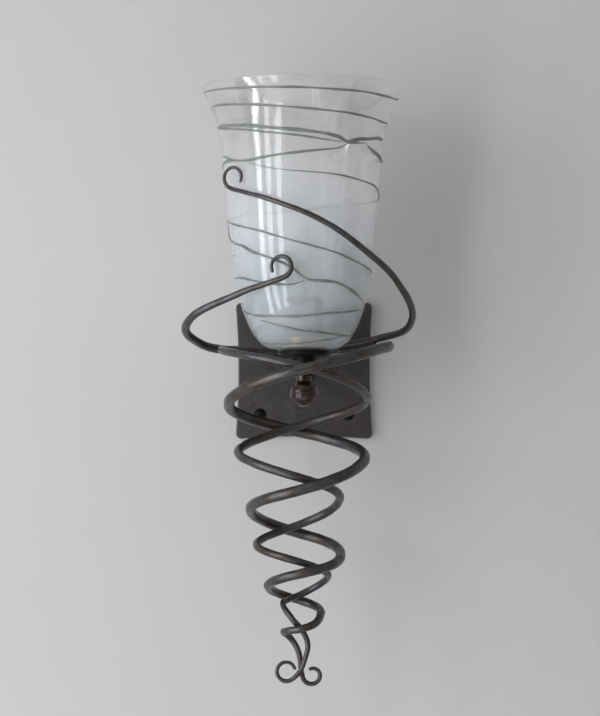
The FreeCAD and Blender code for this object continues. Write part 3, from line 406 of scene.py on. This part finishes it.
def tube_through(places, radii, ring=22, smooth=10):
    """Round tube through places in metres with a radius in metres at each, its ends closed."""
    deselect()
    bpy.ops.curve.primitive_bezier_curve_add()
    piece = bpy.context.object
    line = piece.data
    line.dimensions = "3D"
    points = line.splines[0].bezier_points
    points.add(len(places) - len(points))
    for point, place, radius in zip(points, places, radii):
        point.co = place
        point.radius = radius / MM
        point.handle_left_type = "AUTO"
        point.handle_right_type = "AUTO"
    line.twist_mode = "MINIMUM"
    line.resolution_u = smooth
    line.bevel_depth = MM
    line.bevel_resolution = (ring - 4) // 2
    line.use_fill_caps = True
    bpy.ops.object.convert(target="MESH")
    piece = bpy.context.object
    bpy.ops.object.mode_set(mode="EDIT")
    bpy.ops.mesh.select_all(action="SELECT")
    bpy.ops.mesh.remove_doubles(threshold=SAME_POINT)
    bpy.ops.mesh.normals_make_consistent(inside=False)
    bpy.ops.object.mode_set(mode="OBJECT")
    bpy.ops.object.shade_smooth()
    return piece


def joined(parts):
    """Several pieces made one."""
    deselect()
    for part in parts:
        part.select_set(True)
    bpy.context.view_layer.objects.active = parts[0]
    bpy.ops.object.join()
    return parts[0]


# ---------------------------------------------------------------- blown glass shade

# Height above the arm and outer radius of the glass.
GLASS_SIDE = [
    (13.9, 27.0), (15.2, 33.0), (17.0, 36.4), (22.4, 41.9), (33.2, 48.3), (44.9, 53.0), (55.7, 56.6),
    (67.4, 59.5), (80.9, 61.9), (97.1, 63.9), (112.4, 65.5), (129.5, 67.1), (148.4, 68.8),
    (157.4, 69.8), (175.4, 71.1), (188.9, 72.3), (202.4, 74.0), (214.1, 76.0), (222.2, 78.3),
    (232.1, 82.4), (240.2, 86.3), (244.7, 88.6), (250.2, 90.4),
]
# Hand-blown: its centre strays a little to the left as it rises.
GLASS_LEAN = [(13.0, -0.5), (60.0, -1.1), (110.0, -1.6), (254.0, -1.8)]
GLASS_WALL = 3.0
GLASS_STEP = 5.0
GLASS_SIDES = 144


def glass_wall_at(height):
    """The wall thins towards the rim, where the glass was opened out."""
    return GLASS_WALL - 0.6 * max(0.0, (height - 150.0) / 100.0)


def make_shade():
    """Shade with a foot hole, an inner and an outer wall and a fire-polished lip."""
    low, high = GLASS_SIDE[1][0], GLASS_SIDE[-1][0]
    count = round((high - low) / GLASS_STEP)
    heights = [low + (high - low) * i / count for i in range(count + 1)]
    outer = [(flow(GLASS_SIDE, h), h) for h in heights]
    inner = [(r - glass_wall_at(h), h) for r, h in reversed(outer) if h > GLASS_FOOT + 8]
    lip_radius, lip = outer[-1]
    lip_wall = glass_wall_at(lip)
    rim = [
        (lip_radius + 0.05, lip + 0.5), (lip_radius - 0.5, lip + 1.0),
        (lip_radius - lip_wall + 0.4, lip + 1.0), (lip_radius - lip_wall - 0.1, lip + 0.4),
    ]
    foot_inner = [(34.5, 20.3), (30.0, 18.0), (24.0, 17.1), (20.6, 17.0)]
    foot_edge = [(20.05, 16.4), (20.05, 14.8), (20.6, 14.1)]
    foot_outer = [(24.0, 14.05), (27.4, 14.1), (30.6, 14.35)]
    rings = foot_outer + outer + rim + inner + foot_inner + foot_edge + foot_outer[:1]
    shade = drawn_up(rings, GLASS_SIDES, GLASS_LEAN)
    apply_modifier(shade, "smooth", "SUBSURF", levels=1, render_levels=1)
    apply_modifier(
        shade, "uneven blowing", "DISPLACE", texture=texture("slow swell", "CLOUDS", 70),
        strength=0.5 * MM, mid_level=0.5,
    )
    finish_piece(shade, "blown_shade", opal)
    bpy.ops.object.shade_smooth()
    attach(shade, "shade")
    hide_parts("glass_shade")
    return shade


make_shade()

# Threads trailed round the glass: half thickness in mm before THREAD_FULLNESS, then direction round the axis
# (0 right, -90 front, 90 back) and height above the arm of each point.
THREADS = [
    (0.75, [(-187, 245.5), (-177, 245.1), (-148, 243), (-127, 241.4), (-110, 240.5), (-92, 239.9),
            (-75, 239), (-55, 238.6), (-32, 237.8), (-11, 238), (0, 240.5), (15, 243.3), (29, 247.5),
            (38, 245.5), (45, 239.4), (56, 238.4)]),
    (0.7, [(-195, 232), (-177, 231.6), (-157, 230.7), (-135, 228.3), (-112, 225.4), (-93, 223),
           (-73, 220.9), (-58, 219.8), (-40, 217.9), (-19, 216.4), (0, 217.5), (12, 217), (26, 213)]),
    (1.1, [(-190, 214), (-177, 213.7), (-160, 212.8), (-134, 209.9), (-114, 206.7), (-93, 203.8),
           (-79, 201.8), (-68, 199.7), (-60, 196.8), (-57, 194.3), (-50, 194.1), (-38, 195.3)]),
    (0.6, [(-176, 212.6), (-135, 206.4), (-114, 202.4), (-93, 199.1), (-75, 195.9), (-60, 194.1)]),
    (1.3, [(-56, 195.3), (-45, 198.1), (-34, 199.4), (-25, 201.4), (-12, 201)]),
    (1.2, [(-38, 193.6), (-28, 188.6), (-18, 186.4), (-10, 183.1), (4, 184.5), (15, 186.5), (30, 185.6),
           (34, 181.3)]),
    (0.85, [(-57, 192.6), (-60, 189.8), (-71, 187.4), (-86, 185.3), (-104, 182.9), (-119, 181),
            (-133, 179.1), (-157, 181.3), (-174, 179.6), (-188, 176)]),
    (0.6, [(-177, 188.5), (-158, 184.1), (-150, 181.2)]),
    (0.6, [(-133, 176.9), (-122, 173.4), (-108, 170), (-93, 167.9), (-71, 166.1), (-58, 164.6),
           (-44, 162.2), (-23, 159.1), (-8, 154.3), (6, 150), (30, 149.6), (61, 149.7), (93, 145.9),
           (117, 143.3), (137, 140.6), (150, 137.1), (170, 131.5), (183, 129.2), (210, 122.8),
           (234, 116.6), (251, 110.6), (267, 105.5), (283, 100.8), (300, 96.1), (316, 90.8),
           (336, 86.1), (350, 83.6), (370, 83.2), (387, 84), (408, 84.9), (416, 83), (421, 80.4)]),
    (0.9, [(-179, 129.5), (-178, 121.1), (-171, 113.3), (-158, 107.5), (-144, 103.8), (-135, 98.7),
           (-123, 94.5), (-116, 91.6), (-107, 87.8), (-100, 83.3), (-93, 78.9), (-89, 73.7),
           (-81, 72), (-68, 71.4), (-58, 70), (-39, 63), (-22, 56.9), (-14, 53.8)]),
    (0.5, [(177, 97.3), (162, 100.5), (147, 102.7), (119, 107.2), (93, 107), (85, 109.8)]),
    (0.5, [(59, 106.2), (45, 106.6), (31, 106.2), (10, 104)]),
    (0.7, [(-186, 79), (-177, 78), (-150, 75.9), (-133, 72.2), (-111, 68.7), (-98, 68.5), (-89, 71.9)]),
    (0.75, [(-176, 49.5), (-169, 47.9), (-147, 43.1), (-132, 41.6), (-94, 40.8), (-64, 43.7),
            (-46, 45.1), (-22, 48.1), (-8, 50)]),
    (0.65, [(-138, 38.3), (-122, 34.3), (-94, 28.7), (-71, 27.1), (-32, 24.7), (0, 26.5)]),
    (0.5, [(-170, 18.5), (-140, 17.2), (-110, 16.9), (-68, 19.5), (-32, 24.7)]),
]
# Degrees between two places of a thread, and how much fuller every thread is drawn.
THREAD_STEP = 6.0
THREAD_FULLNESS = 1.3


def make_threads():
    """All the trailed threads, melted half into the glass."""
    trails = []
    for thin_half, points in THREADS:
        half = thin_half * THREAD_FULLNESS
        rows = sorted(points)
        first, last = rows[0][0], rows[-1][0]
        steps = max(4, round((last - first) / THREAD_STEP))
        places = []
        radii = []
        for i in range(steps + 1):
            part = i / steps
            angle = first + (last - first) * part
            height = flow(rows, angle)
            reach = (flow(GLASS_SIDE, height) + half * 0.1) * MM
            turn = math.radians(angle)
            out = Vector((reach * math.cos(turn), reach * math.sin(turn), 0))
            places.append(centre_at(height, GLASS_LEAN) + out)
            taper = min(1.0, 0.25 + 5 * part, 0.25 + 5 * (1 - part))
            swell = 1 + 0.22 * math.sin(angle * 0.19 + half * 40)
            radii.append(half * MM * taper * swell)
        trails.append(tube_through(places, radii, ring=8, smooth=2))
    threads = joined(trails)
    finish_piece(threads, "trailed_threads", thread_glass)
    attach(threads, "shade")
    return threads


make_threads()


# ---------------------------------------------------------------- forged scroll rods

# Route of each rod from its top curl to its foot curl: right, back and up from the axis,
# and the rod's diameter there.
LONG_ROD = [
    (-56.4, -48.6, 160.9, 3.1), (-55.7, -49.1, 165.3, 3.2), (-57.0, -48.3, 169.7, 3.4),
    (-60.1, -46.4, 172.7, 3.5), (-64.0, -43.9, 173.5, 3.6), (-67.8, -41.5, 171.7, 3.8),
    (-70.4, -39.9, 167.9, 3.9), (-70.9, -39.6, 163.1, 4.0), (-69.3, -40.6, 158.5, 4.2),
    (-65.8, -42.7, 155.5, 4.3), (-57.5, -51.8, 152.1, 4.3), (-24.1, -73.0, 140.4, 5.0),
    (15.4, -75.6, 123.9, 5.5), (51.6, -58.9, 100.5, 5.9), (84.3, -29.1, 71.2, 6.4),
    (96.7, 18.3, 38.7, 6.9), (68.8, 58.7, 27.1, 7.2), (26.9, 74.8, 21.5, 7.4),
    (-13.1, 74.8, 17.4, 7.5), (-47.9, 57.6, 16.0, 7.6), (-70.0, 26.3, 15.2, 7.7),
    (-72.0, -11.6, 12.1, 7.7), (-53.6, -43.3, 6.8, 7.8), (-23.5, -60.1, 0.1, 7.9),
    (9.0, -60.6, -7.3, 7.9), (36.6, -46.5, -16.1, 8.0), (53.4, -21.7, -25.3, 8.0),
    (55.2, 7.4, -33.5, 8.1), (42.1, 32.2, -40.3, 8.1), (19.6, 46.6, -46.7, 8.2),
    (-6.0, 49.9, -54.0, 8.2), (-32.0, 43.1, -62.5, 8.3), (-53.0, 23.2, -71.5, 8.4),
    (-58.3, -6.3, -80.1, 8.4), (-44.6, -32.2, -88.7, 8.4), (-20.4, -44.9, -97.1, 8.4),
    (4.1, -44.0, -104.6, 8.4), (22.4, -31.9, -110.8, 8.4), (30.9, -14.5, -116.4, 8.4),
    (31.2, 2.5, -122.5, 8.3), (25.6, 17.5, -129.2, 8.2), (14.1, 29.1, -136.0, 8.0),
    (-2.3, 34.2, -142.8, 7.8), (-20.8, 31.4, -149.5, 7.6), (-37.0, 18.6, -156.1, 7.5),
    (-42.3, -2.3, -162.3, 7.4), (-32.7, -21.1, -168.0, 7.3), (-15.4, -29.7, -173.3, 7.3),
    (1.2, -28.7, -178.3, 7.2), (13.6, -21.8, -182.7, 7.1), (20.4, -11.0, -186.9, 7.0),
    (21.0, 0.6, -191.1, 6.9), (16.1, 9.8, -195.9, 6.7), (8.2, 14.8, -200.8, 6.6),
    (-0.2, 16.0, -205.1, 6.5), (-8.3, 14.1, -208.5, 6.3), (-15.3, 8.8, -211.4, 6.2),
    (-18.9, 0.0, -214.3, 6.0), (-10.7, -9.5, -227.4, 5.9), (-1.8, -7.5, -238.0, 5.6),
    (3.4, -6.0, -250.5, 5.4), (1.3, -5.0, -262.0, 5.1), (-2.4, -4.0, -272.5, 4.9),
    (-8.8, -3.0, -280.4, 4.6), (-12.7, -3.0, -282.9, 4.5), (-17.2, -3.0, -283.2, 4.4),
    (-21.3, -3.0, -281.2, 4.2), (-23.7, -3.0, -277.5, 4.1), (-24.0, -3.0, -273.1, 3.9),
    (-22.0, -3.0, -269.3, 3.8), (-18.5, -3.0, -266.9, 3.7), (-14.3, -3.0, -266.7, 3.5),
    (-10.6, -3.0, -268.5, 3.4), (-8.4, -3.0, -271.9, 3.3),
]
SHORT_ROD = [
    (-27.9, -63.8, 79.7, 3.5), (-28.7, -63.5, 84.5, 3.7), (-27.1, -64.1, 89.0, 3.9),
    (-23.4, -65.2, 92.0, 4.0), (-18.7, -66.6, 92.6, 4.2), (-14.3, -68.0, 90.6, 4.3),
    (-11.6, -68.8, 86.5, 4.5), (-11.3, -68.9, 81.4, 4.7), (-13.5, -68.2, 76.9, 4.8),
    (-17.7, -66.9, 74.2, 5.0), (-28.2, -63.2, 70.6, 5.4), (-58.8, -42.5, 61.0, 6.6),
    (-103.3, -10.4, 39.6, 7.7), (-95.8, 43.4, 22.2, 8.5), (-58.4, 81.7, 15.8, 8.9),
    (-8.9, 94.3, 11.3, 9.3), (38.5, 83.6, 15.0, 9.7), (69.7, 49.1, 17.4, 10.0),
    (76.3, 6.7, 17.0, 10.2), (66.0, -30.9, 12.4, 10.3), (41.2, -59.3, 3.9, 10.3),
    (5.9, -71.6, -5.7, 10.3), (-30.3, -63.7, -15.3, 10.3), (-57.0, -39.1, -25.8, 10.4),
    (-67.3, -5.1, -35.7, 10.4), (-58.7, 28.4, -44.0, 10.4), (-35.0, 51.8, -51.3, 10.4),
    (-4.1, 59.8, -58.6, 10.4), (25.5, 51.9, -66.3, 10.4), (46.5, 31.1, -74.1, 10.4),
    (54.5, 3.4, -82.4, 10.4), (48.7, -24.3, -91.8, 10.4), (30.2, -45.9, -102.1, 10.3),
    (3.1, -54.7, -111.3, 10.2), (-24.0, -47.3, -118.3, 10.1), (-42.1, -27.3, -124.0, 10.0),
    (-47.8, -2.4, -130.0, 10.0), (-41.8, 21.5, -137.1, 10.0), (-25.3, 39.5, -144.8, 10.0),
    (-2.0, 45.8, -152.1, 10.0), (19.4, 37.0, -158.9, 9.9), (30.7, 19.4, -165.3, 9.8),
    (32.7, 1.2, -171.2, 9.7), (29.6, -15.7, -176.5, 9.5), (19.4, -31.2, -181.3, 9.3),
    (1.2, -38.7, -185.9, 9.2), (-17.7, -32.9, -190.6, 9.0), (-29.4, -18.0, -195.2, 8.8),
    (-31.6, -0.8, -199.7, 8.6), (-26.1, 14.3, -204.2, 8.5), (-14.5, 24.0, -208.7, 8.3),
    (-0.5, 25.8, -213.0, 8.2), (10.7, 19.2, -217.3, 8.1), (15.0, 8.9, -221.4, 8.0),
    (14.4, 0.2, -225.3, 7.9), (12.6, -7.1, -229.1, 7.7), (8.2, -13.9, -232.7, 7.6),
    (0.1, -17.5, -235.6, 7.4), (-8.9, -15.5, -237.5, 7.2), (-15.5, -9.0, -238.7, 7.0),
    (-18.0, -0.0, -240.0, 6.9), (-13.0, 5.5, -244.4, 6.4), (-8.6, 6.5, -250.0, 6.0),
    (-5.2, 6.0, -256.8, 5.7), (-3.2, 4.5, -265.5, 5.4), (-2.6, 3.2, -272.5, 5.1),
    (-1.6, 3.0, -278.2, 4.9), (-0.2, 3.0, -282.4, 4.8), (3.0, 3.0, -285.3, 4.6),
    (7.0, 3.0, -286.2, 4.5), (10.8, 3.0, -285.1, 4.4), (13.4, 3.0, -282.4, 4.3),
    (14.4, 3.0, -278.9, 4.1), (13.6, 3.0, -275.6, 4.0), (11.3, 3.0, -273.2, 3.9),
    (8.3, 3.0, -272.2, 3.8), (5.5, 3.0, -272.8, 3.6),
]


def make_rod(name, rows, node):
    """A rod drawn out by hammer: round, a little uneven, with rounded tips."""
    places = [AXIS + Vector(row[:3]) * MM for row in rows]
    radii = [row[3] * MM / 2 for row in rows]
    for end, inner in ((0, 1), (-1, -2)):
        way = (places[end] - places[inner]).normalized()
        radius = radii[end]
        tips = [
            (places[end] + way * radius * 0.55, radius * 0.84),
            (places[end] + way * radius * 0.9, radius * 0.4),
            (places[end] + way * radius * 0.99, radius * 0.08),
        ]
        if end == 0:
            places = [place for place, size in reversed(tips)] + places
            radii = [size for place, size in reversed(tips)] + radii
        else:
            places += [place for place, size in tips]
            radii += [size for place, size in tips]
    rod = tube_through(places, radii, ring=24, smooth=12)
    apply_modifier(
        rod, "hammer marks", "DISPLACE", texture=texture(name + " hammering", "VORONOI", 9),
        strength=0.35 * MM, mid_level=0.8,
    )
    apply_modifier(
        rod, "uneven drawing", "DISPLACE", texture=texture(name + " drawing", "CLOUDS", 24),
        strength=0.5 * MM, mid_level=0.75,
    )
    finish_piece(rod, name, iron)
    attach(rod, "frame")
    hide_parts(node)
    return rod


make_rod("long_forged_scroll", LONG_ROD, "scroll_rod_long")
make_rod("short_forged_scroll", SHORT_ROD, "scroll_rod_short")

# ---------------------------------------------------------------- turned pieces

# Radius of the ball and of its neck, and the heights of the ball's centre and the neck's end.
FINIAL_BALL = 12.7
FINIAL_NECK = 7.0
FINIAL_CENTRE = -25.55
FINIAL_TOP = -9.35


def make_finial():
    """Ball turned with its neck, with the neck's bore for the lamp nipple."""
    rings = []
    for step in range(1, 31):
        turn = math.radians(-90 + 5 * step)
        radius = FINIAL_BALL * math.cos(turn)
        if step > 15 and radius < 7.2:
            break
        rings.append((radius, FINIAL_CENTRE + FINIAL_BALL * math.sin(turn)))
    foot = FINIAL_CENTRE + math.sqrt(FINIAL_BALL ** 2 - FINIAL_NECK ** 2)
    rings = [(0.35, FINIAL_CENTRE - FINIAL_BALL)] + rings + [
        (7.05, foot + 0.5), (6.98, foot + 1.4), (6.98, FINIAL_TOP - 0.5), (6.5, FINIAL_TOP),
        (5.2, FINIAL_TOP), (4.9, FINIAL_TOP - 0.3), (4.9, FINIAL_TOP - 8.6), (0.4, FINIAL_TOP - 10.6),
    ]
    ball = drawn_up(rings, 64, capped=True)
    finish_piece(ball, "turned_finial", browned)
    bpy.ops.object.shade_smooth_by_angle(angle=math.radians(40))
    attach(ball, "finial")
    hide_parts("finial")


def make_cup():
    """Spun dish with a rolled edge under the glass."""
    rings = [
        (5.1, 7.5), (19.0, 7.5), (21.3, 7.6), (22.5, 8.0), (23.2, 8.7), (23.5, 9.6), (23.5, 11.9),
        (23.3, 12.4), (22.8, 12.7), (21.2, 12.7), (20.7, 12.5), (20.5, 12.0), (20.5, 10.0),
        (20.0, 9.6), (5.1, 9.5), (5.1, 7.5),
    ]
    cup = drawn_up(rings, 96)
    finish_piece(cup, "spun_cup", black_steel)
    bpy.ops.object.shade_smooth_by_angle(angle=math.radians(40))
    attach(cup, "frame")
    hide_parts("cup")


def bead(points):
    """Weld bead laid in overlapping pools along points (right, back, up, half thickness) in mm."""
    rows = [Vector(point) for point in points]
    places = []
    radii = []
    for start, end in zip(rows, rows[1:]):
        run = (end - start).xyz.length
        steps = max(2, round(run / 0.6))
        for i in range(steps):
            at = start.lerp(end, i / steps)
            places.append(Vector(at[:3]) * MM)
            radii.append(at[3] * MM * (1 + 0.18 * math.sin(len(places) * 2.1)))
    return tube_through(places, radii, ring=16, smooth=2)


def make_rod_welds():
    """Beads that join the two rods where they cross and to the arm."""
    crossing = bead([
        (32, -35.4, 17.1, 1.6), (35, -36.8, 17.5, 2.8), (42, -40.0, 18.3, 3.0), (48, -43.2, 19.0, 3.1),
        (54, -46.9, 20.1, 3.2), (60.5, -50.9, 21.3, 3.3), (64, -54.4, 21.8, 2.8), (66, -56.9, 22.2, 1.4),
    ])
    on_arm = bead([(-6.5, -20.6, 5.6, 1.4), (-4, -20.8, 6.4, 2.7), (0, -21.1, 7.2, 3.1),
                   (4, -21.4, 6.4, 2.7), (6.5, -21.6, 5.6, 1.4)])
    beads = joined([crossing, on_arm])
    finish_piece(beads, "rod_weld_beads", iron)
    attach(beads, "frame")
    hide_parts("rod_welds")


def make_arm_weld():
    """Fillet bead right round the arm where it meets the plate."""
    points = []
    for degrees in range(0, 372, 12):
        turn = math.radians(degrees)
        points.append((8.0 * math.cos(turn), -6.6, 8.0 * math.sin(turn), 2.3))
    ring = bead(points)
    finish_piece(ring, "arm_weld_bead", iron)
    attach(ring, "frame")
    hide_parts("arm_weld")


make_finial()
make_cup()
make_rod_welds()
make_arm_weld()

# ---------------------------------------------------------------- room, light and camera

EYE = Vector((0.0, -3.015, -0.1396))
SIGHT = Vector((-0.00124, 1.0, 0.05028))
LENS = 162.2
# The wall stands just behind the plate, and is open over this half width behind it.
WALL_BEHIND = 0.0006
WALL_OPENING = 0.0595
WALL_SIZE = 8.0
FLOOR_HEIGHT = -1.4
WINDOW_DISTANCE = 2.3
WINDOW_HEIGHT = -0.1


def make_camera():
    """Camera at the height and distance that the photograph was taken from."""
    data = bpy.data.cameras.new("camera")
    data.lens = LENS
    data.sensor_width = 36.0
    camera = bpy.data.objects.new("camera", data)
    camera.location = EYE
    camera.rotation_euler = SIGHT.to_track_quat("-Z", "Y").to_euler()
    bpy.context.scene.collection.objects.link(camera)
    bpy.context.scene.camera = camera


def painted_wall():
    """Matt wall paint over plaster; from behind it is clear, so that the light can be seen."""
    material, tree, shader, where = new_material("Matt wall paint")
    skin = speckle(tree, where.outputs["Object"], 5, 3.0)
    tone = spread(tree, speckle(tree, where.outputs["Object"], 300, 2.0), 0.0, 1.0)
    wire(
        tree, shader, colour=blend_colours(tree, tone, "#D1CFCD", "#CDCCCC"), rough=0.9,
        normal=relief(tree, skin, 0.4, strength=0.5),
    )
    seen = add(tree, "ShaderNodeNewGeometry").outputs["Backfacing"]
    clear = add(tree, "ShaderNodeBsdfTransparent").outputs["BSDF"]
    mixed = add(tree, "ShaderNodeMixShader", inputs={0: seen, 1: shader.outputs["BSDF"], 2: clear})
    out = next(n for n in tree.nodes if n.type == "OUTPUT_MATERIAL")
    tree.links.new(mixed.outputs["Shader"], out.inputs["Surface"])
    return material


def pale_floor():
    """Matt pale floor paint."""
    material, tree, shader, where = new_material("Matt floor paint")
    tone = spread(tree, speckle(tree, where.outputs["Object"], 400, 2.0), 0.0, 1.0)
    wire(tree, shader, colour=blend_colours(tree, tone, "#D6D4D1", "#D1CFCC"), rough=0.85)
    return material


def make_room():
    """Wall and floor; the wall is open behind the plate, so that the plate's back has light."""
    deselect()
    bpy.ops.mesh.primitive_plane_add(size=WALL_SIZE)
    wall = bpy.context.object
    bpy.ops.object.mode_set(mode="EDIT")
    bpy.ops.mesh.inset(thickness=WALL_SIZE / 2 - WALL_OPENING)
    bpy.ops.mesh.delete(type="FACE")
    bpy.ops.object.mode_set(mode="OBJECT")
    wall.rotation_euler = (math.radians(90), 0, 0)
    wall.location = (0, WALL_BEHIND, 0)
    finish_piece(wall, "wall", painted_wall())
    deselect()
    bpy.ops.mesh.primitive_grid_add(x_subdivisions=4, y_subdivisions=4, size=14.0)
    floor = bpy.context.object
    floor.location = (0, 0, FLOOR_HEIGHT)
    finish_piece(floor, "floor", pale_floor())


def make_window(name, place, width, height, watts, colour="#FFFFFF"):
    """A pane of soft daylight facing the light."""
    data = bpy.data.lights.new(name, "AREA")
    data.shape = "RECTANGLE"
    data.size = width
    data.size_y = height
    data.energy = watts
    data.color = linear(colour)[:3]
    pane = bpy.data.objects.new(name, data)
    pane.location = place
    pane.rotation_euler = (AXIS - Vector(place)).to_track_quat("-Z", "Y").to_euler()
    bpy.context.scene.collection.objects.link(pane)


def make_light():
    """Three tall windows at the left front, with soft light back from ceiling and floor."""
    for number in range(3):
        turn = math.radians(34 + 17 * number)
        aside = WINDOW_DISTANCE * math.sin(turn)
        before = WINDOW_DISTANCE * math.cos(turn)
        place = (-aside, AXIS.y - before, WINDOW_HEIGHT)
        make_window("window_%d" % number, place, 0.34, 2.5, 15, "#F4F8FF")
    make_window("ceiling_bounce", (-1.0, -1.6, 2.6), 2.0, 1.4, 6, "#FFFBF4")
    make_window("floor_bounce", (-0.2, -1.1, -1.25), 1.8, 1.2, 4.5, "#F8FAFF")
    world = bpy.data.worlds.new("room")
    world.use_nodes = True
    background = world.node_tree.nodes["Background"]
    background.inputs["Color"].default_value = linear("#E8E7E4")
    background.inputs["Strength"].default_value = 0.45
    bpy.context.scene.world = world


make_camera()
make_room()
make_light()
bpy.context.scene.view_settings.view_transform = "Standard"
